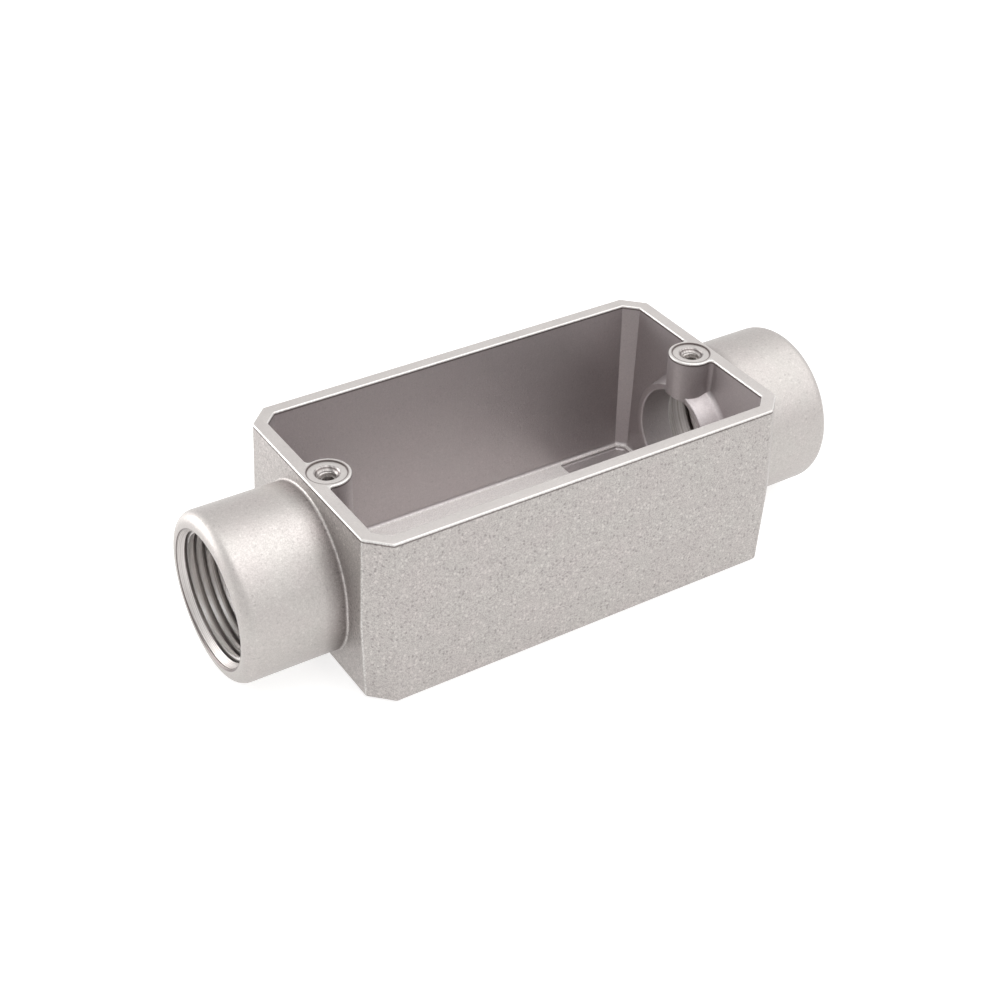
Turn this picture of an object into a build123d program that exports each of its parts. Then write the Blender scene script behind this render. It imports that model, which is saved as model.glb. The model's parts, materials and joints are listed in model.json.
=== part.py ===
from build123d import *
import os
from math import hypot, radians, sqrt, tan

# A straight-through conduit body for one-inch rigid conduit, cast in one piece:
# an open box between two threaded hubs, with a screw boss for the cover at each end.
# Millimetres. X runs along the conduit and Z points out of the open face. The origin
# is under the middle of the box, on the plane that the flat back rests on.

# Passage through each hub, from its mouth to the rounded bushing inside the box
throat_radius = 12.65
thread_step = 3.95
thread_depth = 22.5
thread_mouth_chamfer = 0.3
shoulder_angle = 45.0

# Hubs, one on each end wall, with their axis in the mould's parting plane
hub_wall = 4.0
hub_length = 25.5
hub_mouth_rounding = 3.0
hub_root_bevel = 0.5
hub_ground_gap = 0.1
hub_headroom = 3.4

# Box, measured at its rim
box_length = 114.0
box_width = 62.8
corner_chamfer = 5.2
corner_softening = 1.0
rim_width = 3.3
rim_bevel = 0.35
floor_thickness = 2.7
floor_fillet = 1.0
base_rounding = 1.0
outer_draft = 2.2
inner_draft = 2.0

# Bushing that stands into the box round each throat, and widens by its flare to its root
bushing_wall = 1.85
bushing_flare = 1.4
bushing_reach = 5.5
bushing_bevel = 0.4
bushing_lip_bevel = 0.5
bushing_root_bevel = 1.4

# Cover screw bosses, half sunk into the end walls
boss_radius = 5.6
boss_edge_gap = 0.1
boss_wall_fillet = 1.0
screw_hole_radius = 2.1
screw_hole_depth = 8.0
screw_point_angle = 118.0
countersink_radius = 3.0
countersink_angle = 90.0
spot_face_radius = 4.7
spot_face_depth = 0.3

# Shallow recess in the floor in front of each bushing
recess_length = 26.0
recess_ledge = 1.2
recess_depth = 1.0
recess_rounding = 0.4

# Most of a wall or a gap that one rounding may take up, what cutters overrun by, and how
# near a surface a point has to be to count as on it
rounding_share = 0.45
overrun = 1.0
on_surface = 0.01

# Lengths that follow from those above
thread_root_radius = throat_radius + thread_step
hub_radius = thread_root_radius + hub_wall
axis_height = hub_radius + hub_ground_gap
box_height = axis_height + hub_radius + hub_headroom
above_parting = box_height - axis_height
outer_slope = tan(radians(outer_draft))
inner_slope = tan(radians(inner_draft))
cavity_depth = box_height - floor_thickness
parting_growth = outer_slope * above_parting
mouth_x = box_length / 2 + hub_length
outer_wall_x = box_length / 2 + parting_growth
inner_wall_x = box_length / 2 - rim_width - inner_slope * above_parting
wall_middle_x = (outer_wall_x + inner_wall_x) / 2
hub_start_x = outer_wall_x - base_rounding - overrun
rim_middle_x = (box_length - rim_width) / 2
bushing_radius = throat_radius + bushing_wall
bushing_end_x = inner_wall_x - bushing_reach
bushing_slope = bushing_flare / bushing_reach
boss_x = box_length / 2 - boss_edge_gap - boss_radius
boss_front_x = boss_x - boss_radius
boss_bottom = axis_height + sqrt(throat_radius**2 - boss_radius**2) - overrun
recess_start = box_length / 2 - recess_length

# Rounded and bevelled edges, each limited by the wall or gap that it stands in
mouth_rounding = min(hub_mouth_rounding, 2 * rounding_share * (hub_wall - thread_mouth_chamfer))
root_bevel = min(hub_root_bevel, rounding_share * hub_headroom)
edge_bevel = min(rim_bevel, rounding_share * rim_width)


def rim_plan(inset):
    """The rim's rectangle with chamfered corners, softened outside, moved inwards by inset."""
    plan = Rectangle(box_length - 2 * inset, box_width - 2 * inset)
    plan = chamfer(plan.vertices(), corner_chamfer - inset * (2 - sqrt(2)))
    softening = corner_softening - inset
    return fillet(plan.vertices(), softening) if softening > 0 else plan


def leaning(prism, level_z, angle):
    """A prism with its walls leaned about the plane at one height, to narrow upwards."""
    walls = [face for face in prism.faces() if abs(face.normal_at().Z) < on_surface]
    return draft(walls, Plane.XY.offset(level_z), angle)


def drafted_block(height):
    """The box's outside, from the parting plane to a height above it or, if negative, below."""
    prism = extrude(Pos(Z=axis_height) * rim_plan(-parting_growth), height, (0, 0, 1))
    return leaning(prism, axis_height, outer_draft if height > 0 else -outer_draft)


def drafted_space(depth):
    """The space between the inner walls, from the rim down to a given depth."""
    prism = extrude(Pos(Z=box_height) * rim_plan(rim_width), -depth, (0, 0, 1))
    return leaning(prism, box_height, -inner_draft)


def between_heights(shape, low, high):
    """The part of a shape between two heights above the ground."""
    reach = 4 * mouth_x
    return shape & (Pos(Z=(low + high) / 2) * Box(reach, reach, high - low))


def turned(outline, side):
    """A solid turned about the hub axis, from its half outline in distance and radius."""
    solid = Pos(Z=axis_height) * (Rot(X=90) * revolve(make_face(outline), Axis.X))
    return solid if side > 0 else mirror(solid, Plane.YZ)


def root_edges(shape, distance, surface_radius, low_x, high_x):
    """The edges where a cylinder leaves an end wall: those all of whose points are at the
    cylinder's radius, as distance gives it, and that lie between two values of X."""
    roots = []
    for edge in shape.edges():
        points = [edge @ (step / 4) for step in range(5)]
        on_cylinder = all(abs(distance(p) - surface_radius) < on_surface for p in points)
        level = all(abs(p.Z - points[0].Z) < on_surface for p in points)
        if on_cylinder and not level and low_x < abs(points[2].X) < high_x:
            roots.append(edge)
    return roots


def from_hub_axis(point):
    """How far a point is from the hubs' axis."""
    return hypot(point.Y, point.Z - axis_height)


def from_bushing_axis(point):
    """How far a point is from the hubs' axis, less what the bushing has widened by there."""
    return from_hub_axis(point) - bushing_slope * (abs(point.X) - bushing_end_x)


def from_boss_axis(point):
    """How far a point is from the axis of the boss at its end."""
    return hypot(abs(point.X) - boss_x, point.Y)


def inner_end_wall(side, front_x, back_x, half_width, low_z, high_z):
    """A piece of the inside of one end wall, for a boss or a bushing to stand on."""
    middle = Pos(side * (front_x + back_x) / 2, 0, (low_z + high_z) / 2)
    return middle * Box(back_x - front_x, 2 * half_width, high_z - low_z) - drafted_space(box_height)


def hub(side):
    """The outside of one hub, from inside the end wall to its rounded mouth."""
    rounding_x = mouth_x - mouth_rounding
    rounding_radius = hub_radius - mouth_rounding
    outline = [
        Polyline((hub_start_x, 0), (hub_start_x, hub_radius), (rounding_x, hub_radius)),
        CenterArc((rounding_x, rounding_radius), mouth_rounding, 0, 90),
        Polyline((mouth_x, rounding_radius), (mouth_x, 0), (hub_start_x, 0)),
    ]
    return turned(outline, side)


def hub_stub(side):
    """The first few millimetres of a hub, which carry the bevel at its root."""
    length = outer_wall_x + root_bevel + overrun - hub_start_x
    middle = Pos(side * (hub_start_x + length / 2), 0, axis_height)
    return middle * (Rot(Y=90) * Cylinder(hub_radius, length))


def bushing(side):
    """The collar that stands into the box round the throat, bevelled at its edge and root."""
    bevel_back_x = bushing_end_x + bushing_bevel
    hidden_radius = bushing_radius + bushing_slope * (wall_middle_x - bushing_end_x)
    outline = Polyline(
        (bushing_end_x, 0),
        (bushing_end_x, bushing_radius - bushing_bevel),
        (bevel_back_x, bushing_radius + bushing_slope * bushing_bevel),
        (wall_middle_x, hidden_radius),
        (wall_middle_x, 0),
        close=True,
    )
    reach = bushing_radius + bushing_flare + bushing_root_bevel + overrun / 2
    low_z, high_z = axis_height - reach, axis_height + reach
    wall = inner_end_wall(side, bushing_end_x, wall_middle_x, reach, low_z, high_z)
    collar = wall + turned(outline, side)
    beyond_bevel_x = bevel_back_x + on_surface
    roots = root_edges(collar, from_bushing_axis, bushing_radius, beyond_bevel_x, wall_middle_x)
    return chamfer(roots, bushing_root_bevel)


def boss(side):
    """The column under one cover screw, which ends on the bushing, filleted to the wall."""
    height = box_height - boss_bottom
    reach = boss_radius + boss_wall_fillet + overrun
    wall = inner_end_wall(side, boss_front_x, rim_middle_x, reach, boss_bottom, box_height)
    column = Pos(side * boss_x, 0, boss_bottom + height / 2) * Cylinder(boss_radius, height)
    column += wall
    roots = root_edges(column, from_boss_axis, boss_radius, boss_x, rim_middle_x - on_surface)
    return fillet(roots, boss_wall_fillet)


def passage(side):
    """What is bored out of one hub: the threaded bore, its shoulder, the throat and its lip."""
    lip = bushing_lip_bevel
    start_x = boss_front_x - overrun
    shoulder_x = mouth_x - thread_depth
    shoulder_run = thread_step / tan(radians(shoulder_angle))
    outline = [
        Polyline(
            (start_x, 0),
            (start_x, throat_radius + lip),
            (bushing_end_x, throat_radius + lip),
            (bushing_end_x + lip, throat_radius),
            (shoulder_x - shoulder_run, throat_radius),
            (shoulder_x, thread_root_radius),
            (mouth_x - thread_mouth_chamfer, thread_root_radius),
            (mouth_x + overrun, thread_root_radius + thread_mouth_chamfer + overrun),
            (mouth_x + overrun, 0),
            (start_x, 0),
        ),
    ]
    return turned(outline, side)


def with_hub_roots(block, low, high):
    """A half of the box with the hubs' stubs on it, bevelled where they leave the end walls."""
    for side in (-1, 1):
        block += between_heights(hub_stub(side), low, high)
    high_x = outer_wall_x + on_surface
    return chamfer(root_edges(block, from_hub_axis, hub_radius, wall_middle_x, high_x), root_bevel)


def outside():
    """The casting before it is hollowed, drafted both ways from the parting plane."""
    top = with_hub_roots(drafted_block(above_parting), axis_height, box_height)
    middle = with_hub_roots(drafted_block(-2 * axis_height), -axis_height, axis_height)
    base = drafted_block(-axis_height)
    base = fillet(base.faces().sort_by(Axis.Z)[0].edges(), base_rounding)
    whole = top + between_heights(middle, base_rounding, axis_height)
    whole += between_heights(base, 0, base_rounding)
    for side in (-1, 1):
        whole += hub(side)
    return whole


def cavity():
    """The space inside the box, with the edges of its floor filleted."""
    space = drafted_space(cavity_depth)
    return fillet(space.faces().sort_by(Axis.Z)[0].edges(), floor_fillet)


def screw_hole(side):
    """One blind hole for a cover screw, with its drill point, countersink and spot face."""
    face_z = box_height - spot_face_depth
    bottom_z = box_height - screw_hole_depth
    sink = (countersink_radius - screw_hole_radius) / tan(radians(countersink_angle / 2))
    point = screw_hole_radius / tan(radians(screw_point_angle / 2))
    outline = Polyline(
        (0, 0, box_height + overrun),
        (spot_face_radius, 0, box_height + overrun),
        (spot_face_radius, 0, face_z),
        (countersink_radius, 0, face_z),
        (screw_hole_radius, 0, face_z - sink),
        (screw_hole_radius, 0, bottom_z),
        (0, 0, bottom_z - point),
        close=True,
    )
    return Pos(X=side * boss_x) * revolve(make_face(outline), Axis.Z)


def recess(side):
    """The shallow recess in the floor at one end, with a narrow ledge left round it."""
    floor_plan = rim_plan(rim_width + inner_slope * cavity_depth + recess_ledge)
    end_part = Pos(X=side * (recess_start + recess_length / 2)) * Rectangle(recess_length, box_width)
    plan = Pos(Z=floor_thickness - recess_depth) * (floor_plan & end_part)
    pocket = extrude(plan, recess_depth + overrun, (0, 0, 1))
    return fillet(pocket.edges().filter_by(Axis.Z), recess_rounding)


def with_rim_bevels(casting):
    """The casting with the rim's outer and inner edges broken by a small bevel."""
    rim = casting.faces().filter_by(Plane.XY).sort_by(Axis.Z)[-1]
    inner_wire = rim.inner_wires().sort_by(SortBy.LENGTH)[-1]
    return chamfer(rim.outer_wire().edges() + inner_wire.edges(), edge_bevel)


def conduit_body():
    """The whole casting."""
    casting = outside() - cavity()
    for side in (-1, 1):
        casting += bushing(side)
        casting += boss(side)
        casting -= passage(side)
        casting -= screw_hole(side)
        casting -= recess(side)
    return with_rim_bevels(casting)


os.makedirs("parts", exist_ok=True)
export_step(conduit_body(), "parts/body_casting.step")
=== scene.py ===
import json
from math import atan2, cos, pi, radians, sin, sqrt, tan

import bmesh
import bpy
from bpy.props import FloatProperty, FloatVectorProperty, IntProperty, PointerProperty
from mathutils import Matrix, Vector

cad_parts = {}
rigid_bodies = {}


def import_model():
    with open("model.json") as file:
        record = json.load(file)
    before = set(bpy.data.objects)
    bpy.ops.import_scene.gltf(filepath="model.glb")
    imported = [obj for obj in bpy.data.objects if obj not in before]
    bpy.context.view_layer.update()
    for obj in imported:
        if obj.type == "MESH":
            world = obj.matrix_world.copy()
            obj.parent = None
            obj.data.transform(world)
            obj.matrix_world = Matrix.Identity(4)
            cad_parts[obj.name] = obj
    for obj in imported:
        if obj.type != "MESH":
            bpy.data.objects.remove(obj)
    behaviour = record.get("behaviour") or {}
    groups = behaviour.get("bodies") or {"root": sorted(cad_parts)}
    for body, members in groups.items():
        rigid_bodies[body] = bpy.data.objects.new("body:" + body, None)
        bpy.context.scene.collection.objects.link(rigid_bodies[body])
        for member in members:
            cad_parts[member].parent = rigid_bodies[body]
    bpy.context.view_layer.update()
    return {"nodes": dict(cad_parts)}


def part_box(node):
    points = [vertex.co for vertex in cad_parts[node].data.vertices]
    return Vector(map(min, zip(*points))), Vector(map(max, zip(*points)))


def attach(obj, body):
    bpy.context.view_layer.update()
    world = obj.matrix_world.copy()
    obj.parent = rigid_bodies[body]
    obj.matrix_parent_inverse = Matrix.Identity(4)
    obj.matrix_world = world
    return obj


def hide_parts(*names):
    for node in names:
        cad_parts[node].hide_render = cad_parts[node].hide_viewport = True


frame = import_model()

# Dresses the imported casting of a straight-through conduit body: the casting with its real
# roundings, the threads in its hubs and screw holes, its metal finishes, and a plain stage.

bl_info = {
    "name": "Conduit body",
    "version": (1, 0, 0),
    "blender": (4, 5, 0),
    "location": "3D View > Sidebar > Conduit body",
    "description": "Dresses the casting of a straight-through conduit body and lights it",
    "category": "Object",
}

CASTING_NODE = "body_casting"
LOW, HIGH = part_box(CASTING_NODE)

TENTH = 0.0001  # a tenth of a millimetre, in which the finishes' places are measured
OVERLAP = 0.001  # how far solids run into each other where they are joined or cut
MERGED = 1e-6  # points nearer than this are one
CASTING_SHARP, THREAD_SHARP = 32, 35  # degrees from which an edge stays sharp
LEAST_FACES = 1000  # a casting with fewer has gone wrong

# Flats in the roundings, and in each turn of the screw holes and threads
BASE_STEPS, RIM_STEPS, FOOT_STEPS, ROOT_STEPS, MOUTH_STEPS, LIP_STEPS = 6, 4, 5, 5, 8, 4
FILLET_STEPS, CORNER_STEPS, BOSS_STEPS, HOLE_STEPS, THREAD_STEPS = 5, 4, 16, 64, 96


# Settings

def settings_of(kind, **fixed):
    """Makes settings of one kind, each from a name, a description and a default."""

    def made(name, description, default):
        return kind(name=name, description=description, default=default, **fixed)

    return made


length = settings_of(FloatProperty, unit="LENGTH", subtype="DISTANCE", precision=5)
turn = settings_of(FloatProperty, unit="ROTATION", subtype="ANGLE")
amount = settings_of(FloatProperty, min=0.0, subtype="FACTOR")
power = settings_of(FloatProperty, min=0.0, unit="POWER")
focal = settings_of(FloatProperty, unit="CAMERA")
whole = settings_of(IntProperty, min=16)
tint = settings_of(FloatVectorProperty, min=0.0, max=1.0, size=3, subtype="COLOR")


class CastingSizes(bpy.types.PropertyGroup):
    """Sizes of the casting, with the roundings that its edges have."""

    box_length: length("Box length", "Length of the box at its rim", 0.114)
    box_width: length("Box width", "Width of the box at its rim", 0.0628)
    box_height: length("Box height", "Height of the rim above the ground", HIGH.z)
    corner_chamfer: length("Corner chamfer", "Leg of the chamfer at each corner of the rim", 0.0052)
    corner_softening: length("Corner softening", "Rounding of the outer corners", 0.001)
    inner_corner: length("Inner corner", "Rounding of the inner corners", 0.0003)
    rim_width: length("Rim width", "Width of the flat rim", 0.0033)
    rim_rounding: length("Rim rounding", "Rounding of the rim's two edges", 0.00035)
    floor_thickness: length("Floor thickness", "Thickness of the floor", 0.0027)
    floor_rounding: length("Floor rounding", "Rounding between floor and inner walls", 0.001)
    base_rounding: length("Base rounding", "Rounding round the flat back", 0.001)
    outer_draft: turn("Outer draft", "Lean of the outer walls", radians(2.2))
    inner_draft: turn("Inner draft", "Lean of the inner walls", radians(2.0))
    hub_reach: length("Hub reach", "Distance of the hub mouths from the middle", HIGH.x)
    hub_radius: length("Hub radius", "Outer radius of the hubs", 0.0206)
    axis_height: length("Axis height", "Height of the hubs' axis above the ground", 0.0207)
    mouth_rounding: length("Mouth rounding", "Rounding of the hub mouths", 0.003)
    hub_root: length("Hub root", "Fillet where a hub leaves its end wall", 0.0005)
    throat_radius: length("Throat radius", "Radius of the throat in each hub", 0.01265)
    thread_radius: length("Thread radius", "Radius at the root of the hub thread", 0.0166)
    thread_depth: length("Thread depth", "Length of the bore up to its shoulder", 0.0225)
    mouth_chamfer: length("Mouth chamfer", "Chamfer of the threaded bore at the mouth", 0.0003)
    bushing_radius: length("Bushing radius", "Outer radius of the inner collar's front", 0.0145)
    bushing_flare: length("Bushing flare", "How much wider the collar is at its root", 0.0014)
    bushing_reach: length("Bushing reach", "How far the collar stands into the box", 0.0055)
    bushing_rounding: length("Bushing rounding", "Rounding of the collar's edge", 0.0004)
    bushing_lip: length("Bushing lip", "Rounding of the throat's edge", 0.0005)
    bushing_root: length("Bushing root", "Fillet where the collar leaves its wall", 0.0014)
    boss_place: length("Boss place", "Distance of the screw holes from the middle", 0.0513)
    boss_radius: length("Boss radius", "Radius of the screw bosses", 0.0056)
    boss_fillet: length("Boss fillet", "Fillet where a boss leaves its end wall", 0.001)
    hole_radius: length("Hole radius", "Radius of the screw holes", 0.0021)
    hole_depth: length("Hole depth", "Depth of the screw holes", 0.008)
    sink_radius: length("Countersink radius", "Radius of the countersinks", 0.003)
    spot_radius: length("Spot face radius", "Radius of the spot faces", 0.0047)
    spot_depth: length("Spot face depth", "Depth of the spot faces", 0.0003)
    recess_start: length("Recess start", "Distance of the floor recesses from the middle", 0.031)
    recess_ledge: length("Recess ledge", "Ledge left round the floor recesses", 0.0012)
    recess_depth: length("Recess depth", "Depth of the floor recesses", 0.001)
    recess_rounding: length("Recess rounding", "Rounding of the recess corners", 0.0004)
    turn_steps: whole("Steps in a turn", "Flats round each hub", 160)


class ThreadSizes(bpy.types.PropertyGroup):
    """Sizes of the threads."""

    hub_pitch: length("Hub pitch", "Pitch of the hub thread", 0.002209)
    hub_ridge: length("Hub ridge", "Height of the hub thread's ridge", 0.0016)
    hub_crest: length("Hub crest", "Width of the flat on the hub thread's ridge", 0.00022)
    hub_run: length("Hub run", "Length of the hub thread", 0.0175)
    hub_start: length("Hub start", "Depth over which the hub thread's ridge is cut back", 0.0006)
    screw_pitch: length("Screw pitch", "Pitch of the screw thread", 0.00106)
    screw_ridge: length("Screw ridge", "Height of the screw thread's ridge", 0.00042)
    screw_crest: length("Screw crest", "Width of the flat on the screw thread's ridge", 0.0001)


class FinishSettings(bpy.types.PropertyGroup):
    """Colours and surface of the metal."""

    cast_colour: tint("Cast colour", "Colour of the cast skin", (0.56, 0.536, 0.512))
    cast_warm: tint("Warm patches", "Colour of the skin's warmer patches", (0.56, 0.520, 0.504))
    cast_dark: tint("Low spots", "Colour of the skin's low spots", (0.33, 0.308, 0.300))
    # Painted shade: the darker, purplish colour that the skin leans to inside the box and the
    # throats, and how far it goes
    painted_inner_shade: tint("Inner colour", "Colour that the skin leans to inside", (0.48, 0.432, 0.452))
    inner_shade_share: amount("Inner share", "How far the skin leans to its inner colour", 0.5)
    # Painted light: the pale colour of the box's floor inside, as if lit from above
    painted_floor_light: tint("Inner floor", "Colour of the box's floor inside", (0.90, 0.878, 0.862))
    # Painted shade: the colour that darkens the creases
    painted_crease_shade: tint("Crease tint", "What darkens the creases", (0.34, 0.31, 0.31))
    cut_colour: tint("Cut colour", "Colour of machined metal", (0.66, 0.625, 0.605))
    # Painted highlight: the colour of the threads' crests
    crest_highlight_colour: tint("Crests", "Colour of the threads' rubbed crests", (0.95, 0.93, 0.91))
    # Rubbed edges with a painted highlight: the colour of the bright edge lines
    edge_wear_and_highlight: tint("Edge colour", "Colour of rubbed edges", (0.74, 0.73, 0.71))
    grain_size: length("Grain size", "Size of the blasted grain", 0.0003)
    grain_height: length("Grain height", "Height of the blasted grain", 0.00005)
    spot_contrast: amount("Spots", "Contrast of the light and dark spots", 1.3)
    cast_roughness: amount("Cast roughness", "Roughness of the cast skin", 0.5)
    cut_roughness: amount("Cut roughness", "Roughness of machined metal", 0.42)


class StageSettings(bpy.types.PropertyGroup):
    """Floor, light and camera."""

    floor_colour: tint("Floor colour", "Colour of the floor", (0.58, 0.58, 0.575))
    floor_glow: amount("Floor glow", "How much whiter the camera sees the floor", 0.7)
    sky_fill: amount("Sky fill", "Strength of the even light from all round", 0.55)
    key_power: power("Key power", "Power of the key lamp", 2.1)
    top_power: power("Top power", "Power of the lamp overhead", 0.8)
    side_power: power("Side power", "Power of the lamp at the left", 3.0)
    key_size: length("Key size", "Side of the key lamp, and twice that of the others", 0.9)
    camera_azimuth: turn("Camera azimuth", "Direction of the view, from +Y to +X", radians(33.264))
    camera_elevation: turn("Camera elevation", "How far the camera looks down", radians(35.518))
    camera_roll: turn("Camera roll", "Turn of the camera about its line of sight", radians(1.426))
    camera_right: length("Camera right", "Shift of the rim's middle to the right", 0.0044756)
    camera_up: length("Camera up", "Shift of the rim's middle upwards", 0.0215848)
    camera_distance: length("Camera distance", "Distance of the rim's middle", 0.4211388)
    camera_lens: focal("Lens", "Focal length of the camera", 63.918)


class ConduitBodySettings(bpy.types.PropertyGroup):
    """Everything that can be set."""

    casting: PointerProperty(type=CastingSizes)
    threads: PointerProperty(type=ThreadSizes)
    finish: PointerProperty(type=FinishSettings)
    stage: PointerProperty(type=StageSettings)


# Shapes

def quarter(flats, radius):
    """The points of a quarter circle, from its first axis to its second."""
    angles = [pi / 2 * step / flats for step in range(flats + 1)]
    return [(radius * cos(a), radius * sin(a)) for a in angles]


def share(value, low, high):
    """How far a value is from low to high, kept from nought to one and eased at both ends."""
    reached = min(1.0, max(0.0, (value - low) / (high - low)))
    return reached * reached * (3.0 - 2.0 * reached)


def rounded(corners, radius):
    """A convex outline, counterclockwise, with each corner replaced by an arc."""
    outline = []
    for place, corner in enumerate(corners):
        corner = Vector(corner)
        back = (Vector(corners[place - 1]) - corner).normalized()
        on = (Vector(corners[(place + 1) % len(corners)]) - corner).normalized()
        turned = pi - back.angle(on)
        middle = corner + (back + on).normalized() * (radius / cos(turned / 2))
        arm = corner + back * (radius * tan(turned / 2)) - middle
        for step in range(CORNER_STEPS + 1):
            spin = Matrix.Rotation(turned * step / CORNER_STEPS, 2)
            outline.append(tuple(middle + spin @ arm))
    return outline


def mended(mesh, merged=False, freed=False, outwards=False):
    """Merges doubled points, frees a mesh of flat faces, or turns its faces outwards."""
    shape = bmesh.new()
    shape.from_mesh(mesh)
    if merged:
        bmesh.ops.remove_doubles(shape, verts=shape.verts, dist=MERGED)
    if freed:
        bmesh.ops.dissolve_degenerate(shape, edges=shape.edges, dist=MERGED)
    if outwards:
        bmesh.ops.recalc_face_normals(shape, faces=shape.faces)
    shape.to_mesh(mesh)
    shape.free()


def skin(name, rings):
    """A closed mesh over rings of equally many points, with its first and last ring filled."""
    count = len(rings[0])
    points = [point for ring in rings for point in ring]
    last = len(points) - count
    faces = [tuple(range(count)), tuple(range(last, last + count))]
    for start in range(0, last, count):
        for step in range(count):
            after = (step + 1) % count
            faces.append((start + step, start + after, start + count + after, start + count + step))
    mesh = bpy.data.meshes.new(name)
    mesh.from_pydata(points, [], faces)
    mended(mesh, outwards=True)
    return mesh


def placed(mesh, collection):
    """An object that shows a mesh, in a collection."""
    piece = bpy.data.objects.new(mesh.name, mesh)
    collection.objects.link(piece)
    return piece


def plan_at(sizes, outset, height, softening):
    """A ring at one height: the rim's plan moved outwards, with softened corners."""
    half_length = sizes.box_length / 2 + outset
    half_width = sizes.box_width / 2 + outset
    cut = sizes.corner_chamfer + outset * (2 - sqrt(2))
    first = [(half_length, half_width - cut), (half_length - cut, half_width)]
    corners = first + [(-x, y) for x, y in reversed(first)]
    corners += [(-x, -y) for x, y in corners]
    return [(x, y, height) for x, y in rounded(corners, max(softening, sizes.inner_corner))]


def box_mesh(sizes):
    """The box: its outside up to the rim, the rim, and its inside down to the floor."""
    lean, slope = tan(sizes.outer_draft), tan(sizes.inner_draft)
    top, soft = sizes.box_height, sizes.corner_softening
    growth = lean * (top - sizes.axis_height)
    base, rim, foot = sizes.base_rounding, sizes.rim_rounding, sizes.floor_rounding
    low_outset = growth - lean * (sizes.axis_height - base)
    rings = []
    for along, up in quarter(BASE_STEPS, base):
        outset = low_outset - base + up
        rings.append(plan_at(sizes, outset, base - along, soft + outset))
    rings.append(plan_at(sizes, growth, sizes.axis_height, soft + growth))
    for along, up in quarter(RIM_STEPS, rim):
        outset = along - rim
        rings.append(plan_at(sizes, outset, top - rim + up, soft + outset))
    for along, up in quarter(RIM_STEPS, rim):
        outset = rim - up - sizes.rim_width
        rings.append(plan_at(sizes, outset, top - rim + along, 0.0))
    foot_height = sizes.floor_thickness + foot
    foot_outset = -sizes.rim_width - slope * (top - foot_height)
    for along, up in quarter(FOOT_STEPS, foot):
        outset = foot_outset - foot + along
        rings.append(plan_at(sizes, outset, foot_height - up, 0.0))
    return skin("box", rings)


def hub_ring(sizes, side, along, radius, lean=0.0, slope=0.0, flare=0.0):
    """A ring about the hubs' axis. Lean and slope move it with the wall that it stands on,
    and the flare widens it, except near the ground."""
    unflared, flared = 0.0015, 0.006  # heights between which the flare sets in
    points = []
    for step in range(sizes.turn_steps):
        angle = 2 * pi * step / sizes.turn_steps
        above = sizes.hub_radius * sin(angle)
        wide = radius + flare * share(sizes.axis_height + above, unflared, flared)
        across, rise = wide * cos(angle), wide * sin(angle)
        moved = along + slope * rise - lean * abs(rise)
        points.append((side * moved, across, sizes.axis_height + rise))
    return points


def hub_mesh(sizes, side):
    """One hub, from inside the end wall to its rounded mouth, with a fillet at its root."""
    lean = tan(sizes.outer_draft)
    wall = sizes.box_length / 2 + lean * (sizes.box_height - sizes.axis_height)
    start, straight = wall - sizes.base_rounding - OVERLAP, 0.006
    root, mouth, radius = sizes.hub_root, sizes.mouth_rounding, sizes.hub_radius
    rings = [hub_ring(sizes, side, start, radius)]
    rings.append(hub_ring(sizes, side, wall - root / 2, radius, lean, flare=root))
    for along, up in quarter(ROOT_STEPS, root):
        at = wall + root - along
        rings.append(hub_ring(sizes, side, at, radius, lean, flare=root - up))
    rings.append(hub_ring(sizes, side, wall + root + straight, radius))
    for along, up in quarter(MOUTH_STEPS, mouth):
        at = sizes.hub_reach - mouth + up
        rings.append(hub_ring(sizes, side, at, radius - mouth + along))
    return skin("hub", rings)


def inner_wall(sizes):
    """How far out the inner end wall stands at the hubs' axis, and how it slopes."""
    slope = tan(sizes.inner_draft)
    rise = sizes.box_height - sizes.axis_height
    return sizes.box_length / 2 - sizes.rim_width - slope * rise, slope


def bushing_mesh(sizes, side):
    """The flared collar that stands into the box round the throat, filleted at its root."""
    wall, slope = inner_wall(sizes)
    end = wall - sizes.bushing_reach
    root, edge, radius = sizes.bushing_root, sizes.bushing_rounding, sizes.bushing_radius
    wide = radius + sizes.bushing_flare * (1 - root / sizes.bushing_reach)
    rings = [hub_ring(sizes, side, wall + 2 * OVERLAP, wide + root)]
    for along, up in quarter(ROOT_STEPS, root):
        at = wall - root + along
        rings.append(hub_ring(sizes, side, at, wide + root - up, slope=slope))
    for along, up in quarter(MOUTH_STEPS, edge):
        at = end + edge - up
        rings.append(hub_ring(sizes, side, at, radius - edge + along))
    return skin("bushing", rings)


def passage_mesh(sizes, side):
    """What is bored out of one hub: threaded bore, shoulder, throat and rounded lip."""
    end = inner_wall(sizes)[0] - sizes.bushing_reach
    lip, throat, thread = sizes.bushing_lip, sizes.throat_radius, sizes.thread_radius
    shoulder = sizes.hub_reach - sizes.thread_depth
    front = sizes.boss_place - sizes.boss_radius - OVERLAP
    outline = [(front, throat + lip)]
    for along, up in quarter(LIP_STEPS, lip):
        outline.append((end + lip - along, throat + lip - up))
    outline += [
        (shoulder - (thread - throat), throat),
        (shoulder, thread),
        (sizes.hub_reach - sizes.mouth_chamfer, thread),
        (sizes.hub_reach + OVERLAP, thread + sizes.mouth_chamfer + OVERLAP),
    ]
    return skin("passage", [hub_ring(sizes, side, along, radius) for along, radius in outline])


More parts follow.
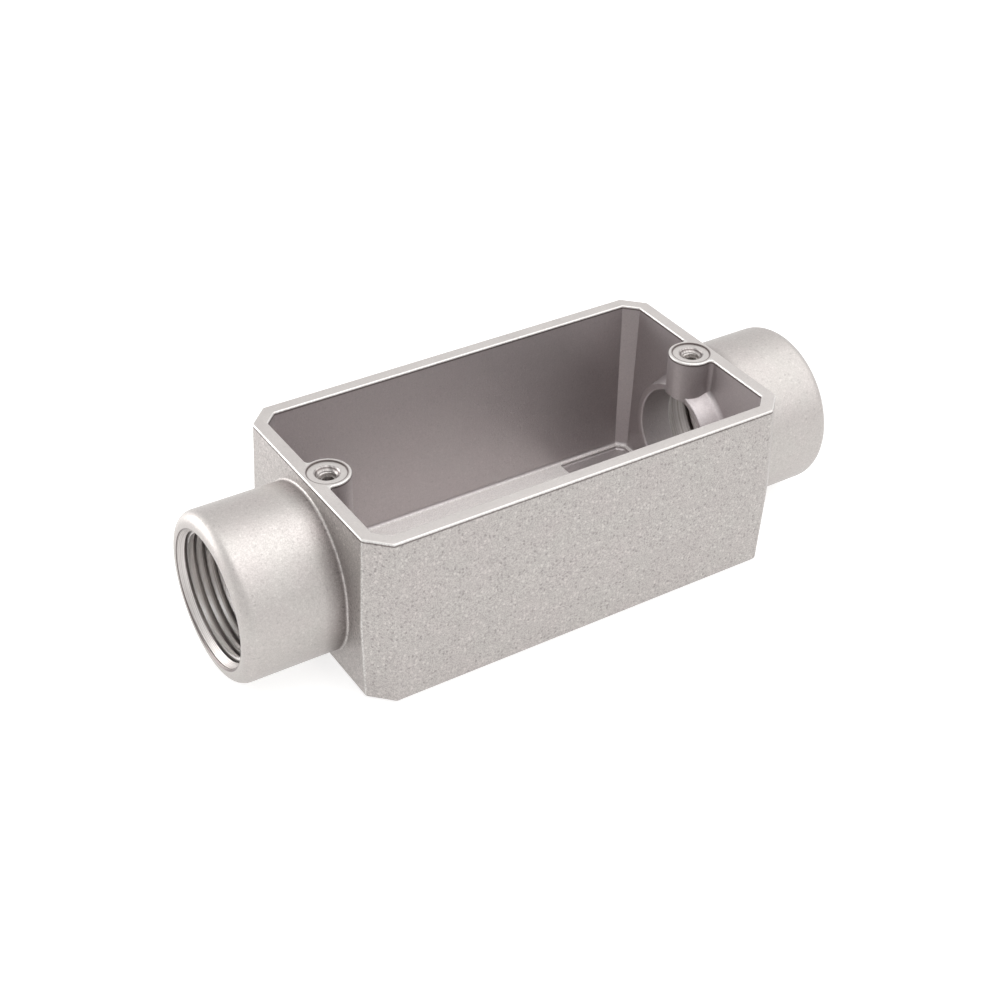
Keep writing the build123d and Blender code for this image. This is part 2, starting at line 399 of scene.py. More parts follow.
def boss_ring(sizes, side, height, inset):
    """A boss's outline at one height, with its fillets to the end wall, moved inwards."""
    radius, fillet = sizes.boss_radius - inset, sizes.boss_fillet + inset
    wall = sizes.box_length / 2 - sizes.rim_width + inset
    wall -= tan(sizes.inner_draft) * (sizes.box_height - height)
    ahead = wall - fillet - sizes.boss_place
    beside = sqrt((radius + fillet) ** 2 - ahead**2)
    begin = atan2(beside, ahead)
    upper = []
    for step in range(FILLET_STEPS + 1):
        angle = (begin - pi) * step / FILLET_STEPS
        upper.append((wall - fillet + fillet * cos(angle), beside + fillet * sin(angle)))
    arc = [begin + (pi - begin) * step / BOSS_STEPS for step in range(1, BOSS_STEPS + 1)]
    upper += [(sizes.boss_place + radius * cos(a), radius * sin(a)) for a in arc]
    half = [(wall + 1.5 * OVERLAP, beside)] + upper
    outline = half + [(x, -y) for x, y in reversed(half[:-1])]
    return [(side * x, y, height) for x, y in outline]


def boss_mesh(sizes, side):
    """One screw boss, down to where it ends on the bushing, with a rounded top edge."""
    bottom = sizes.axis_height + sqrt(sizes.throat_radius**2 - sizes.boss_radius**2) - OVERLAP
    edge = sizes.rim_rounding
    rings = [boss_ring(sizes, side, bottom, 0.0)]
    for along, up in quarter(RIM_STEPS, edge):
        height = sizes.box_height - edge + up
        rings.append(boss_ring(sizes, side, height, edge - along))
    return skin("boss", rings)


def screw_hole_mesh(sizes, side):
    """What is drilled out of one boss: spot face, countersink, blind hole and drill point."""
    face = sizes.box_height - sizes.spot_depth
    bottom = sizes.box_height - sizes.hole_depth
    sink = sizes.sink_radius - sizes.hole_radius
    point, tip = sizes.hole_radius * 0.6, sizes.hole_radius * 0.02
    outline = [
        (sizes.box_height + OVERLAP, sizes.spot_radius),
        (face, sizes.spot_radius),
        (face, sizes.sink_radius),
        (face - sink, sizes.hole_radius),
        (bottom, sizes.hole_radius),
        (bottom - point, tip),
    ]
    angles = [2 * pi * step / HOLE_STEPS for step in range(HOLE_STEPS)]
    place = side * sizes.boss_place
    rings = [[(place + r * cos(a), r * sin(a), height) for a in angles] for height, r in outline]
    return skin("screw_hole", rings)


def recess_mesh(sizes, side):
    """What the shallow recess in the floor takes away at one end."""
    drawn_in = tan(sizes.inner_draft) * (sizes.box_height - sizes.floor_thickness)
    inset = sizes.rim_width + drawn_in + sizes.recess_ledge
    bevel, above = 3 * TENTH, sizes.floor_thickness + OVERLAP / 2
    bottom = sizes.floor_thickness - sizes.recess_depth
    rings = []
    for narrowed, height in ((bevel, bottom), (0.0, bottom + bevel), (0.0, above)):
        reach = sizes.box_length / 2 - inset - narrowed
        half = sizes.box_width / 2 - inset - narrowed
        start = sizes.recess_start + narrowed
        cut = sizes.corner_chamfer - (inset + narrowed) * (2 - sqrt(2))
        corners = [(start, -half), (reach - cut, -half), (reach, cut - half)]
        corners += [(reach, half - cut), (reach - cut, half), (start, half)]
        rings.append([(side * x, y, height) for x, y in rounded(corners, sizes.recess_rounding)])
    return skin("recess", rings)


def joined(base, tools, operation, scene):
    """A mesh with all the tools' solids added to it or taken away from it."""
    group = bpy.data.collections.new("tools")
    scene.collection.children.link(group)
    for mesh in tools:
        placed(mesh, group)
    piece = placed(base, scene.collection)
    change = piece.modifiers.new("change", "BOOLEAN")
    change.operation = operation
    change.solver = "EXACT"
    change.operand_type = "COLLECTION"
    change.collection = group
    result = plain_mesh(piece, base.name)
    for tool in list(group.objects):
        bpy.data.objects.remove(tool)
    bpy.data.collections.remove(group)
    bpy.data.objects.remove(piece)
    return result


def plain_mesh(piece, name):
    """The mesh that an object shows, with its modifiers worked in."""
    depsgraph = bpy.context.evaluated_depsgraph_get()
    mesh = bpy.data.meshes.new_from_object(
        piece.evaluated_get(depsgraph), preserve_all_data_layers=True, depsgraph=depsgraph
    )
    mesh.name = name
    return mesh


def shaded(piece, degrees):
    """Shades a piece smooth, apart from its sharp edges, with flats kept flat."""
    mesh = piece.data
    mended(mesh, merged=True, freed=True)
    mesh.shade_smooth()
    mesh.set_sharp_from_angle(angle=radians(degrees))
    weighted = piece.modifiers.new("flats", "WEIGHTED_NORMAL")
    weighted.keep_sharp = True
    piece.data = plain_mesh(piece, piece.name)
    piece.modifiers.clear()
    bpy.data.meshes.remove(mesh)


# Node helpers

def add_node(tree, kind, inputs=None, **settings):
    """A new node. Each input is a value or the output that feeds it."""
    made = tree.nodes.new(kind)
    for name, value in settings.items():
        setattr(made, name, value)
    for key, value in (inputs or {}).items():
        if isinstance(value, bpy.types.NodeSocket):
            tree.links.new(value, made.inputs[key])
        else:
            made.inputs[key].default_value = value
    return made


def reckon(tree, operation, first, second=0.0, third=0.0):
    """The output of a math node."""
    fed = {0: first, 1: second, 2: third}
    return add_node(tree, "ShaderNodeMath", fed, operation=operation).outputs[0]


def product(tree, *factors):
    """The product of several values."""
    made = factors[0]
    for factor in factors[1:]:
        made = reckon(tree, "MULTIPLY", made, factor)
    return made


def most(tree, *values):
    """The greatest of several values."""
    made = values[0]
    for value in values[1:]:
        made = reckon(tree, "MAXIMUM", made, value)
    return made


def ramp(tree, value, low, high, start=0.0, end=1.0, kept=True):
    """A value taken from one range to another and, if wanted, kept inside it."""
    fed = {"Value": value, "From Min": low, "From Max": high, "To Min": start, "To Max": end}
    return add_node(tree, "ShaderNodeMapRange", fed, clamp=kept).outputs["Result"]


def past(tree, value, place, start, end, low=0.0, high=1.0):
    """Low before a place and high past it. Start and end of the change are in tenths from it."""
    return ramp(tree, value, place + start * TENTH, place + end * TENTH, low, high)


def until(tree, value, place, start, end):
    """One before a place and nought past it."""
    return past(tree, value, place, start, end, 1.0, 0.0)


def line(tree, value, middle, core, reach):
    """One within core tenths of a middle, falling to nought at reach tenths from it."""
    away = reckon(tree, "ABSOLUTE", reckon(tree, "SUBTRACT", value, middle))
    return until(tree, away, 0.0, core, reach)


def distance(tree, first, second):
    """The length of a step that is known by its two parts."""
    square = reckon(tree, "MULTIPLY", second, second)
    return reckon(tree, "SQRT", reckon(tree, "MULTIPLY_ADD", first, first, square))


def blend(tree, factor, first, second, way="MIX"):
    """Two colours mixed by a factor. Each is a setting or the output that gives it."""
    fed = {0: factor}
    for key, value in ((6, first), (7, second)):
        fed[key] = value if isinstance(value, bpy.types.NodeSocket) else (*value, 1.0)
    return add_node(tree, "ShaderNodeMix", fed, data_type="RGBA", blend_type=way).outputs[2]


def noise(tree, where, scale, detail):
    """The value of a noise at each point."""
    fed = {"Vector": where, "Scale": scale, "Detail": detail}
    return add_node(tree, "ShaderNodeTexNoise", fed).outputs["Fac"]


def give(tree, out, made):
    """Feeds a group's outputs by their names."""
    for name, value in made.items():
        tree.links.new(value, out[name])


def group_tree(name, kind, inputs, outputs):
    """A node group with named sockets, and its input and output nodes."""
    tree = bpy.data.node_groups.new(name, kind)
    for label, socket in outputs:
        tree.interface.new_socket(label, in_out="OUTPUT", socket_type=socket)
    for label, socket, default in inputs:
        made = tree.interface.new_socket(label, in_out="INPUT", socket_type=socket)
        if default is not None:
            made.default_value = default
    return tree, tree.nodes.new("NodeGroupInput").outputs, tree.nodes.new("NodeGroupOutput").inputs


# Finishes

def grain_group():
    """The blasted skin of a casting: fine grain, pits, slow patches, and lines from a tool."""
    tree, given, out = group_tree(
        "blasted_grain",
        "ShaderNodeTree",
        [("Vector", "NodeSocketVector", None), ("Size", "NodeSocketFloat", 0.0003)],
        [(name, "NodeSocketFloat") for name in ("Height", "Speckle", "Spots", "Patch", "Lines")],
    )
    where = given["Vector"]
    scale = reckon(tree, "DIVIDE", 1.0, given["Size"])
    fine = noise(tree, where, scale, 3.0)
    coarse = noise(tree, where, product(tree, scale, 0.37), 2.0)
    patch = noise(tree, where, product(tree, scale, 0.035), 3.0)
    fed = {"Vector": where, "Scale": product(tree, scale, 0.3)}
    pits = add_node(tree, "ShaderNodeTexVoronoi", fed).outputs
    shade = add_node(tree, "ShaderNodeSeparateColor", {"Color": pits["Color"]}).outputs["Red"]
    dot = ramp(tree, pits["Distance"], 0.2, 0.42, 1.0, 0.0)
    along = add_node(tree, "ShaderNodeSeparateXYZ", {"Vector": where}).outputs["X"]
    fed = {"W": along, "Scale": product(tree, scale, 0.5), "Detail": 2.0}
    lines = add_node(tree, "ShaderNodeTexNoise", fed, noise_dimensions="1D").outputs["Fac"]
    relief = reckon(tree, "MULTIPLY_ADD", coarse, 0.8, fine)
    hollow = ramp(tree, pits["Distance"], 0.0, 0.3)
    mixed = reckon(tree, "MULTIPLY_ADD", coarse, 0.2, product(tree, fine, 0.8))
    made = {
        "Height": reckon(tree, "MULTIPLY_ADD", hollow, 0.6, relief),
        "Speckle": ramp(tree, mixed, 0.4, 0.6),
        "Spots": product(tree, dot, ramp(tree, shade, 0.0, 1.0, -1.0, 1.0)),
        "Patch": ramp(tree, patch, 0.3, 0.7),
        "Lines": ramp(tree, lines, 0.38, 0.62),
    }
    give(tree, out, made)
    return tree


def places_group(sizes, threads):
    """Where the casting is machined, where its edges are rubbed and get a painted highlight, where
    painted shade goes in its creases, where it is a hub or inside, and its inner floor.
    """
    names = ("Rim", "Bore", "Crest", "Edge", "Inside", "Floor", "Hub", "Crease")
    tree, given, out = group_tree(
        "machined_places",
        "ShaderNodeTree",
        [("Vector", "NodeSocketVector", None)],
        [(name, "NodeSocketFloat") for name in names],
    )
    half_length, half_width = sizes.box_length / 2, sizes.box_width / 2
    at = add_node(tree, "ShaderNodeSeparateXYZ", {"Vector": given["Vector"]}).outputs
    along, across = reckon(tree, "ABSOLUTE", at["X"]), reckon(tree, "ABSOLUTE", at["Y"])
    depth = reckon(tree, "SUBTRACT", sizes.box_height, at["Z"])
    rise = reckon(tree, "SUBTRACT", at["Z"], sizes.axis_height)
    radius = distance(tree, rise, at["Y"])
    on_boss = distance(tree, reckon(tree, "SUBTRACT", along, sizes.boss_place), at["Y"])

    # Machined: rim and spot faces, threaded bores and screw holes
    rim = until(tree, depth, sizes.spot_depth, 0, 1)
    tip = sizes.thread_radius - threads.hub_ridge
    crest = until(tree, radius, tip, 1, 6)
    mouth = sizes.thread_radius + sizes.mouth_chamfer
    in_hub = past(tree, along, half_length, 0, 5)
    bored = product(tree, until(tree, radius, mouth, 0, 2), in_hub)
    throat = until(tree, radius, sizes.throat_radius, 1, 3)
    drilled = until(tree, on_boss, sizes.sink_radius, 0, 2)
    drilled = product(tree, drilled, until(tree, depth, 0.0, 105, 110))
    bore = most(tree, reckon(tree, "SUBTRACT", bored, throat), drilled)

    # Rubbed bright and painted highlight: both edges of the rim, the bosses' edges, and the upright
    # corner edges
    by_end = reckon(tree, "SUBTRACT", along, half_length)
    by_side = reckon(tree, "SUBTRACT", across, half_width)
    corner = half_length + half_width - sizes.corner_chamfer
    by_corner = reckon(tree, "SUBTRACT", reckon(tree, "ADD", along, across), corner)
    by_corner = reckon(tree, "DIVIDE", by_corner, sqrt(2))
    outside, brink = most(tree, by_end, by_side, by_corner), -sizes.rim_width
    outer = line(tree, outside, 0.0, 1, 3)
    inner = line(tree, outside, brink, 1, 4)
    inner = product(tree, inner, past(tree, on_boss, sizes.boss_radius, -3, 0))
    boss_edge = line(tree, on_boss, sizes.boss_radius, 2, 5)
    free = until(tree, outside, brink, -3, 0)
    high = until(tree, depth, 0.0, 2, 6)
    rim_edges = product(tree, most(tree, outer, inner, product(tree, boss_edge, free)), high)
    upright = line(tree, by_end, by_corner, 1, 3)
    on_wall = past(tree, by_end, 0.0, -8, -5)
    below_rim = past(tree, depth, 0.0, 6, 10, 0.0, 0.7)
    edge = most(tree, rim_edges, product(tree, upright, on_wall, below_rim))

    # Inside the box and the throats, where painted shade tints the skin darker and purplish, and on
    # the floor or, less so, in its recesses, where painted light goes
    within = until(tree, outside, brink, 0, 3)
    above_back = past(tree, at["Z"], sizes.base_rounding, 0, 3)
    within = product(tree, within, above_back, past(tree, depth, 0.0, 3, 6))
    inside = most(tree, reckon(tree, "SUBTRACT", within, bore), throat)
    over = past(tree, at["Z"], sizes.floor_thickness, -3, -1, 0.15)
    under = until(tree, at["Z"], sizes.floor_thickness, 1, 3)

    # Painted shade in the creases: at the hubs' roots and mouths, under the rim, round the spot
    # faces, in the holes
    lean = tan(sizes.outer_draft)
    wall = half_length + lean * (sizes.box_height - sizes.axis_height)
    off_wall = reckon(tree, "SUBTRACT", along, wall)
    off_wall = reckon(tree, "MULTIPLY_ADD", reckon(tree, "ABSOLUTE", rise), lean, off_wall)
    on_hub = past(tree, radius, sizes.hub_radius, -10, -5)
    on_hub = product(tree, on_hub, past(tree, off_wall, 0.0, 2, 8))
    root = product(tree, until(tree, off_wall, 0.0, 8, 55), on_hub, 0.7)
    under_rim = until(tree, depth, 0.0, 7, 10)
    under_rim = product(tree, under_rim, past(tree, depth, 0.0, 4, 6))
    step = product(tree, line(tree, on_boss, sizes.spot_radius, 1, 3), high)
    round_mouth = product(tree, line(tree, radius, mouth - TENTH, 1, 3), in_hub)
    bottom = product(tree, drilled, past(tree, depth, 0.0, 25, 45, 0.2))

    made = {
        "Rim": rim,
        "Bore": bore,
        "Crest": crest,
        "Edge": edge,
        "Inside": inside,
        "Floor": product(tree, over, under, inside),
        "Hub": past(tree, off_wall, 0.0, 0, 30),
        "Crease": most(tree, root, under_rim, step, round_mouth, bottom),
    }
    give(tree, out, made)
    return tree


def bare_metal(name, grain, grain_size, places):
    """A new metal, and what the grain and the places give at each point of its piece."""
    material = bpy.data.materials.new(name)
    material.use_nodes = True
    tree = material.node_tree
    at = add_node(tree, "ShaderNodeTexCoord").outputs["Object"]
    fed = {"Vector": at, "Size": grain_size}
    skin_of = add_node(tree, "ShaderNodeGroup", fed, node_tree=grain)
    place_of = add_node(tree, "ShaderNodeGroup", {"Vector": at}, node_tree=places)
    return material, skin_of.outputs, place_of.outputs


def surfaced(material, colour, roughness, relief, height):
    """Feeds a metal's colour, roughness and relief to its surface."""
    tree = material.node_tree
    surface = tree.nodes["Principled BSDF"].inputs
    surface["Metallic"].default_value = 1.0
    fed = {"Height": relief, "Distance": height, "Strength": 0.6}
    bump = add_node(tree, "ShaderNodeBump", fed).outputs["Normal"]
    for name, value in (("Base Color", colour), ("Roughness", roughness), ("Normal", bump)):
        tree.links.new(value, surface[name])


def cast_material(finish, grain, places):
    """Shot-blasted casting with its machined places, rubbed edges with a painted highlight, painted
    shade in its creases, a painted shade tint inside and painted light on its inner floor.
    """
    material, skin_of, place = bare_metal("blasted_casting", grain, finish.grain_size, places)
    tree, speckle = material.node_tree, skin_of["Speckle"]
    box_low, calm_low, highest = 0.25, 0.6, 0.8
    floor_light_least, cut_least, cut_most, wear_and_highlight_least = 0.7, 0.7, 0.95, 0.25
    scored_dark, milled_dark, floor_rougher, spread, cut_relief = 0.9, 0.3, 0.3, 0.05, 0.25
    light = blend(tree, skin_of["Patch"], finish.cast_warm, finish.cast_colour)
    calm = most(tree, place["Hub"], place["Inside"])
    lowest = ramp(tree, calm, 0.0, 1.0, box_low, calm_low)
    spotted = reckon(tree, "MULTIPLY_ADD", skin_of["Spots"], finish.spot_contrast, speckle)
    lightness = ramp(tree, spotted, 0.0, 1.0, lowest, highest, kept=False)
    colour = blend(tree, lightness, finish.cast_dark, light)
    # Painted shade: inside the box and the throats the skin leans to a darker, purplish colour
    inner = product(tree, place["Inside"], finish.inner_shade_share)
    colour = blend(tree, inner, colour, finish.painted_inner_shade)
    # Painted light: the inner floor, and a little of its recesses, lightened as if lit from above
    floor_light = product(tree, place["Floor"], ramp(tree, speckle, 0.0, 1.0, floor_light_least, 1.0))
    colour = blend(tree, floor_light, colour, finish.painted_floor_light)

    cut = most(tree, place["Rim"], place["Bore"])
    scored = product(tree, place["Bore"], skin_of["Lines"], scored_dark)
    milled = product(tree, place["Rim"], speckle)
    shaded_share = reckon(tree, "MULTIPLY_ADD", milled, milled_dark, scored)
    cut_shade = blend(tree, shaded_share, finish.cut_colour, finish.cast_dark)
    cut_share = product(tree, cut, ramp(tree, skin_of["Patch"], 0.0, 1.0, cut_least, cut_most))
    colour = blend(tree, cut_share, colour, cut_shade)
    # Painted shade darkens the hubs' roots and mouths, under the rim, round the spot faces and down
    # the holes
    colour = blend(tree, place["Crease"], colour, finish.painted_crease_shade, "MULTIPLY")
    # Rubbed metal and painted highlight along the edges of the rim, the bosses and the upright
    # corners
    wear_and_highlight_share = product(tree, place["Edge"], ramp(tree, speckle, 0.2, 0.8, wear_and_highlight_least, 1.0))
    colour = blend(tree, wear_and_highlight_share, colour, finish.edge_wear_and_highlight)

    cast = finish.cast_roughness
    rough = ramp(tree, speckle, 0.0, 1.0, cast + spread, cast - spread)
    smooth = ramp(tree, cut, 0.0, 1.0, 0.0, cast - finish.cut_roughness)
    smooth = reckon(tree, "MULTIPLY_ADD", place["Floor"], -floor_rougher, smooth)
    rough = reckon(tree, "SUBTRACT", rough, smooth)
    relief = product(tree, skin_of["Height"], ramp(tree, cut, 0.0, 1.0, 1.0, cut_relief))
    surfaced(material, colour, rough, relief, finish.grain_height)
    return material


def cut_material(finish, grain, places):
    """Freshly cut thread: bright at its crests with a painted highlight, with fine lines from the
    tap.
    """
    material, skin_of, place = bare_metal("cut_thread", grain, finish.grain_size / 2, places)
    tree, lines, cut = material.node_tree, skin_of["Lines"], finish.cut_roughness
    scored_dark, rubbed, spread = 0.7, 0.85, 0.05
    colour = blend(tree, product(tree, lines, scored_dark), finish.cut_colour, finish.cast_dark)
    # Painted highlight on the thread crests
    colour = blend(tree, product(tree, place["Crest"], rubbed), colour, finish.crest_highlight_colour)
    rough = ramp(tree, skin_of["Speckle"], 0.0, 1.0, cut + spread, cut - spread)
    relief = reckon(tree, "MULTIPLY_ADD", lines, 2.0, skin_of["Height"])
    surfaced(material, colour, rough, relief, finish.grain_height / 2)
    return material


def finish_named(name):
    """A finish that the operator for finishes has made."""
    if name not in bpy.data.materials:
        raise RuntimeError(f"the finish {name} has to be made first")
    return bpy.data.materials[name]


# Threads

THREAD_SIZES = {
    "Radius": 0.0166,
    "Pitch": 0.0022,
    "Ridge": 0.0016,
    "Crest": 0.0002,
    "Depth": 0.02,
    "Cut back": 0.0006,
}
THREAD_PLACES = ("First place", "First turn", "Second place", "Second turn")


def thread_tree(material):
    """Sweeps a ridge along a helix, cuts it back at the mouth and puts it in two bores."""
    taken = [("Geometry", "NodeSocketGeometry", None)]
    taken += [(name, "NodeSocketFloat", size) for name, size in THREAD_SIZES.items()]
    taken += [(name, "NodeSocketVector", None) for name in THREAD_PLACES]
    made = [("Geometry", "NodeSocketGeometry")]
    tree, given, out = group_tree("thread_ridge", "GeometryNodeTree", taken, made)
    turns = reckon(tree, "DIVIDE", given["Depth"], given["Pitch"])
    middle = reckon(tree, "MULTIPLY_ADD", given["Ridge"], -0.5, given["Radius"])
    fed = {"Resolution": THREAD_STEPS, "Rotations": turns, "Height": given["Depth"]}
    fed |= {"Start Radius": middle, "End Radius": middle}
    helix = add_node(tree, "GeometryNodeCurveSpiral", fed).outputs["Curve"]
    upright = add_node(tree, "GeometryNodeSetCurveNormal", {"Curve": helix}, mode="Z_UP")
    root_share, proud, start = 0.98, TENTH / 2, 1.5 * TENTH
    fed = {"Bottom Width": given["Crest"], "Top Width": product(tree, given["Pitch"], root_share)}
    fed |= {"Offset": 0.0, "Height": given["Ridge"]}
    profile = add_node(tree, "GeometryNodeCurvePrimitiveQuadrilateral", fed, mode="TRAPEZOID")
    fed = {"Curve": upright.outputs["Curve"], "Profile Curve": profile.outputs["Curve"]}
    fed["Fill Caps"] = True
    swept = add_node(tree, "GeometryNodeCurveToMesh", fed).outputs["Mesh"]
    at = add_node(tree, "GeometryNodeInputPosition").outputs["Position"]
    parts = add_node(tree, "ShaderNodeSeparateXYZ", {"Vector": at}).outputs
    away = distance(tree, parts["X"], parts["Y"])
    cone = reckon(tree, "ADD", given["Radius"], given["Cut back"])
    cone = reckon(tree, "SUBTRACT", cone, parts["Z"])
    cone = reckon(tree, "MINIMUM", cone, reckon(tree, "ADD", given["Radius"], proud))
    grown = reckon(tree, "DIVIDE", reckon(tree, "MAXIMUM", away, cone), away)
    fed = {key: product(tree, parts[key], grown) for key in ("X", "Y")}
    fed["Z"] = most(tree, parts["Z"], start)
    moved = add_node(tree, "ShaderNodeCombineXYZ", fed).outputs["Vector"]
    fed = {"Geometry": swept, "Position": moved}
    cut = add_node(tree, "GeometryNodeSetPosition", fed).outputs["Geometry"]
    both = add_node(tree, "GeometryNodeJoinGeometry")
    for which in ("First", "Second"):
        spin = add_node(tree, "FunctionNodeEulerToRotation", {"Euler": given[f"{which} turn"]})
        fed = {"Geometry": cut, "Rotation": spin.outputs["Rotation"]}
        fed["Translation"] = given[f"{which} place"]
        put = add_node(tree, "GeometryNodeTransform", fed)
        tree.links.new(put.outputs["Geometry"], both.inputs["Geometry"])
    real = add_node(tree, "GeometryNodeRealizeInstances", {"Geometry": both.outputs["Geometry"]})
    fed = {"Geometry": real.outputs["Geometry"], "Material": material}
    dressed = add_node(tree, "GeometryNodeSetMaterial", fed)
    tree.links.new(dressed.outputs["Geometry"], out["Geometry"])
    return tree


def add_threads(name, values, scene):
    """A piece with two equal threads in it, made by the thread tree."""
    material = finish_named("cut_thread")
    tree = bpy.data.node_groups.get("thread_ridge") or thread_tree(material)
    piece = placed(bpy.data.meshes.new(name), scene.collection)
    made = piece.modifiers.new("thread", "NODES")
    made.node_group = tree
    for item in tree.interface.items_tree:
        if item.in_out == "INPUT" and item.name in values:
            made[item.identifier] = values[item.name]
    mesh = plain_mesh(piece, name)
    piece.modifiers.clear()
    piece.data = mesh
    if not mesh.polygons:
        raise RuntimeError(f"the thread tree made nothing for {name}")
    mended(mesh, merged=True, outwards=True)
    mesh.shade_smooth()
    mesh.set_sharp_from_angle(angle=radians(THREAD_SHARP))
    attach(piece, "root")
    return piece


# Operators

class MakeFinishes(bpy.types.Operator):
    """Make the metal finishes"""

    bl_idname = "conduit_body.make_finishes"
    bl_label = "Finishes"

    def execute(self, context):
        settings = context.scene.conduit_body
        grain = grain_group()
        places = places_group(settings.casting, settings.threads)
        material = cast_material(settings.finish, grain, places)
        cut_material(settings.finish, grain, places)
        node = frame["nodes"][CASTING_NODE]
        node.data.materials.clear()
        node.data.materials.append(material)
        return {"FINISHED"}


class AddCasting(bpy.types.Operator):
    """Build the casting with its rounded edges, in place of the plain one"""

    bl_idname = "conduit_body.add_casting"
    bl_label = "Casting"

    def execute(self, context):
        scene = context.scene
        sizes = scene.conduit_body.casting
        added, removed = [], []
        for side in (-1, 1):
            added += [make(sizes, side) for make in (hub_mesh, bushing_mesh, boss_mesh)]
            removed += [make(sizes, side) for make in (passage_mesh, screw_hole_mesh, recess_mesh)]
        solid = joined(box_mesh(sizes), added, "UNION", scene)
        solid = joined(solid, removed, "DIFFERENCE", scene)
        solid.name = "casting"
        piece = placed(solid, scene.collection)
        shaded(piece, CASTING_SHARP)
        if len(piece.data.polygons) < LEAST_FACES:
            raise RuntimeError("the casting came out empty")
        piece.data.materials.clear()
        piece.data.materials.append(finish_named("blasted_casting"))
        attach(piece, "root")
        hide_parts(CASTING_NODE)
        return {"FINISHED"}


class AddHubThreads(bpy.types.Operator):
    """Cut the conduit threads in both hubs"""

    bl_idname = "conduit_body.add_hub_threads"
    bl_label = "Hub threads"

    def execute(self, context):
        settings = context.scene.conduit_body
        sizes, threads = settings.casting, settings.threads
        values = {
            "Radius": sizes.thread_radius,
            "Pitch": threads.hub_pitch,
            "Ridge": threads.hub_ridge,
            "Crest": threads.hub_crest,
            "Depth": threads.hub_run,
            "Cut back": threads.hub_start,
            "First place": (sizes.hub_reach, 0.0, sizes.axis_height),
            "First turn": (pi / 2, -pi / 4, -pi / 2),
            "Second place": (-sizes.hub_reach, 0.0, sizes.axis_height),
            "Second turn": (pi / 2, -3 * pi / 4, pi / 2),
        }
        add_threads("hub_threads", values, context.scene)
        return {"FINISHED"}


class AddScrewThreads(bpy.types.Operator):
    """Cut the threads in both screw holes"""

    bl_idname = "conduit_body.add_screw_threads"
    bl_label = "Screw threads"

    def execute(self, context):
        settings = context.scene.conduit_body
        sizes, threads = settings.casting, settings.threads
        sunk = sizes.spot_depth + sizes.sink_radius - sizes.hole_radius
        mouth = sizes.box_height - sunk
        values = {
            "Radius": sizes.hole_radius,
            "Pitch": threads.screw_pitch,
            "Ridge": threads.screw_ridge,
            "Crest": threads.screw_crest,
            "Depth": sizes.hole_depth - sunk - threads.screw_pitch,
            "Cut back": threads.screw_ridge / 2,
            "First place": (sizes.boss_place, 0.0, mouth),
            "First turn": (pi, 0.0, 0.0),
            "Second place": (-sizes.boss_place, 0.0, mouth),
            "Second turn": (pi, 0.0, 0.0),
        }
        add_threads("screw_threads", values, context.scene)
        return {"FINISHED"}


# Stage

KEY_PLACE, TOP_PLACE, SIDE_PLACE = (0.25, -0.19, 0.47), (0.0, -0.05, 0.6), (-0.45, 0.5, 0.12)
FLOOR_REACH = 3.0


def shown_white(tree):
    """One for rays from the camera, from gloss and through glass, otherwise nought."""
    path = add_node(tree, "ShaderNodeLightPath").outputs
    return most(tree, *(path[f"Is {kind} Ray"] for kind in ("Camera", "Glossy", "Transmission")))


def add_floor(stage, scene):
    """A plain pale floor that the camera sees nearly white."""
    shape = bmesh.new()
    bmesh.ops.create_grid(shape, x_segments=8, y_segments=8, size=FLOOR_REACH)
    mesh = bpy.data.meshes.new("floor")
    bmesh.ops.translate(shape, verts=shape.verts, vec=(0.0, 0.0, LOW.z - 2 * TENTH))
    shape.to_mesh(mesh)
    shape.free()
    floor = placed(mesh, scene.collection)
    material = bpy.data.materials.new("studio_floor")
    material.use_nodes = True
    tree = material.node_tree
    surface = tree.nodes["Principled BSDF"].inputs
    surface["Base Color"].default_value = (*stage.floor_colour, 1.0)
    surface["Roughness"].default_value = 0.9
    surface["Specular IOR Level"].default_value = 0.0
    surface["Emission Color"].default_value = (1.0, 1.0, 1.0, 1.0)
    glow = product(tree, shown_white(tree), stage.floor_glow)
    tree.links.new(glow, surface["Emission Strength"])
    mesh.materials.append(material)


def light_sky(stage, scene):
    """An even white surround, dimmer as a light than it looks."""
    world = bpy.data.worlds.new("studio")
    world.use_nodes = True
    tree = world.node_tree
    strength = ramp(tree, shown_white(tree), 0.0, 1.0, stage.sky_fill, 1.0)
    background = tree.nodes["Background"]
    background.inputs["Color"].default_value = (1.0, 1.0, 1.0, 1.0)
    tree.links.new(strength, background.inputs["Strength"])
    scene.world = world


def add_lamp(name, place, target, watts, size, scene):
    """A soft square lamp that points at a target."""
    lamp = bpy.data.lights.new(name, "AREA")
    lamp.shape, lamp.size, lamp.energy = "SQUARE", size, watts
    made = bpy.data.objects.new(name, lamp)
    made.location = place
    made.rotation_euler = (Vector(target) - Vector(place)).to_track_quat("-Z", "Y").to_euler()
    scene.collection.objects.link(made)


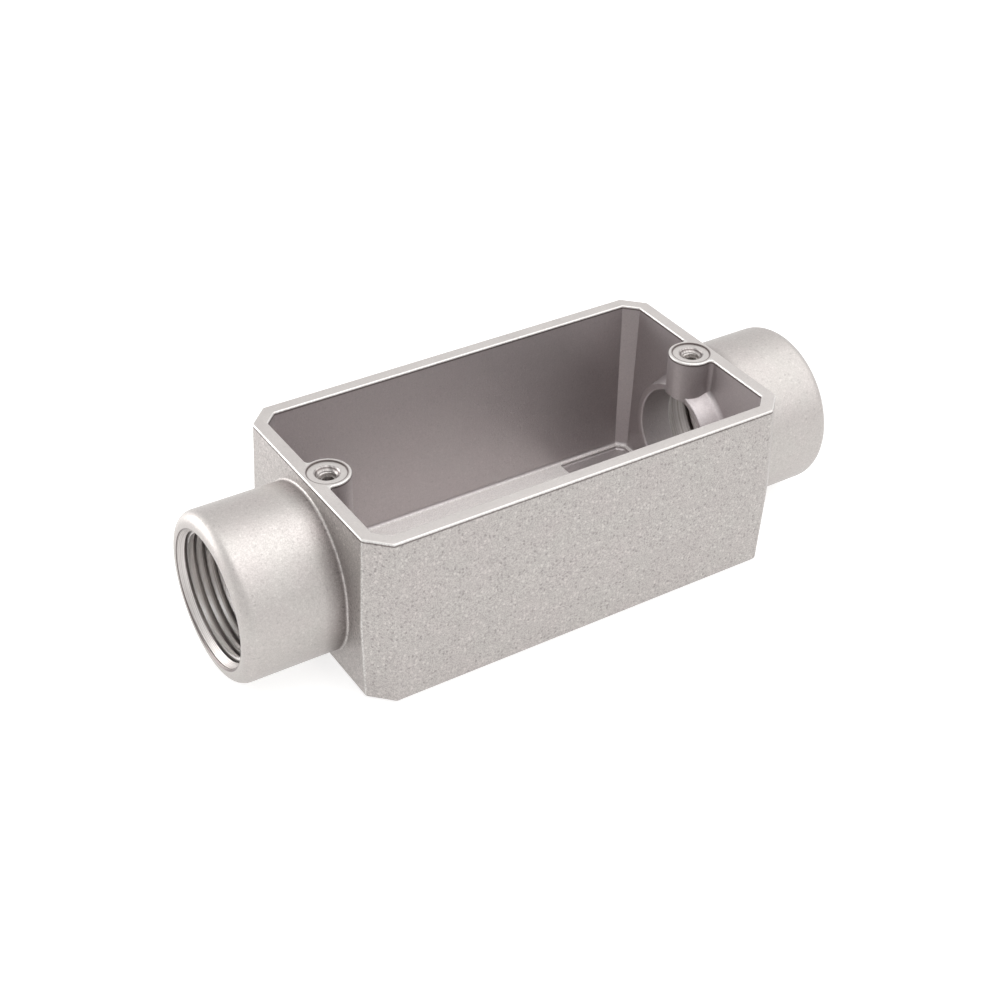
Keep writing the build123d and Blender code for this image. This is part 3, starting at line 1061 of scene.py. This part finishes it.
def add_camera(stage, scene):
    """The camera, at the photograph's viewing angle."""
    azimuth, elevation, roll = stage.camera_azimuth, stage.camera_elevation, stage.camera_roll
    ahead = Vector((sin(azimuth) * cos(elevation), cos(azimuth) * cos(elevation), -sin(elevation)))
    level = ahead.cross(Vector((0.0, 0.0, 1.0))).normalized()
    upright = level.cross(ahead)
    right = level * cos(roll) + upright * sin(roll)
    above = upright * cos(roll) - level * sin(roll)
    shift = right * stage.camera_right + above * stage.camera_up + ahead * stage.camera_distance
    place = Vector((0.0, 0.0, HIGH.z)) - shift
    camera = bpy.data.cameras.new("camera")
    camera.lens, camera.sensor_width = stage.camera_lens, 36.0
    camera.clip_start, camera.clip_end = 0.01, 20.0
    made = bpy.data.objects.new("camera", camera)
    axes = Matrix((right, above, -ahead)).transposed().to_4x4()
    made.matrix_world = Matrix.Translation(place) @ axes
    scene.collection.objects.link(made)
    scene.camera = made


class SetStage(bpy.types.Operator):
    """Set up the floor, the light and the camera"""

    bl_idname = "conduit_body.set_stage"
    bl_label = "Stage"

    def execute(self, context):
        scene = context.scene
        stage, sizes = scene.conduit_body.stage, scene.conduit_body.casting
        scene.view_settings.view_transform = "Standard"
        add_floor(stage, scene)
        light_sky(stage, scene)
        middle, small = (0.0, 0.0, sizes.axis_height), stage.key_size / 2
        add_lamp("key", KEY_PLACE, middle, stage.key_power, stage.key_size, scene)
        add_lamp("top", TOP_PLACE, middle, stage.top_power, small, scene)
        add_lamp("side", SIDE_PLACE, middle, stage.side_power, small, scene)
        add_camera(stage, scene)
        return {"FINISHED"}


class ConduitBodyPanel(bpy.types.Panel):
    """The steps that dress the conduit body"""

    bl_idname = "VIEW3D_PT_conduit_body"
    bl_label = "Conduit body"
    bl_space_type = "VIEW_3D"
    bl_region_type = "UI"
    bl_category = "Conduit body"

    def draw(self, context):
        for step in STEPS:
            self.layout.operator(step.bl_idname)


STEPS = (MakeFinishes, AddCasting, AddHubThreads, AddScrewThreads, SetStage)
GROUPS = (CastingSizes, ThreadSizes, FinishSettings, StageSettings, ConduitBodySettings)


def register():
    """Registers the settings, the steps and the panel."""
    for each in GROUPS + STEPS + (ConduitBodyPanel,):
        bpy.utils.register_class(each)
    bpy.types.Scene.conduit_body = PointerProperty(type=ConduitBodySettings)


def unregister():
    """Takes away what register added."""
    del bpy.types.Scene.conduit_body
    for each in reversed(GROUPS + STEPS + (ConduitBodyPanel,)):
        bpy.utils.unregister_class(each)


def main():
    """Runs every step in order."""
    register()
    bpy.ops.conduit_body.make_finishes()
    bpy.ops.conduit_body.add_casting()
    bpy.ops.conduit_body.add_hub_threads()
    bpy.ops.conduit_body.add_screw_threads()
    bpy.ops.conduit_body.set_stage()


if __name__ == "__main__":
    main()
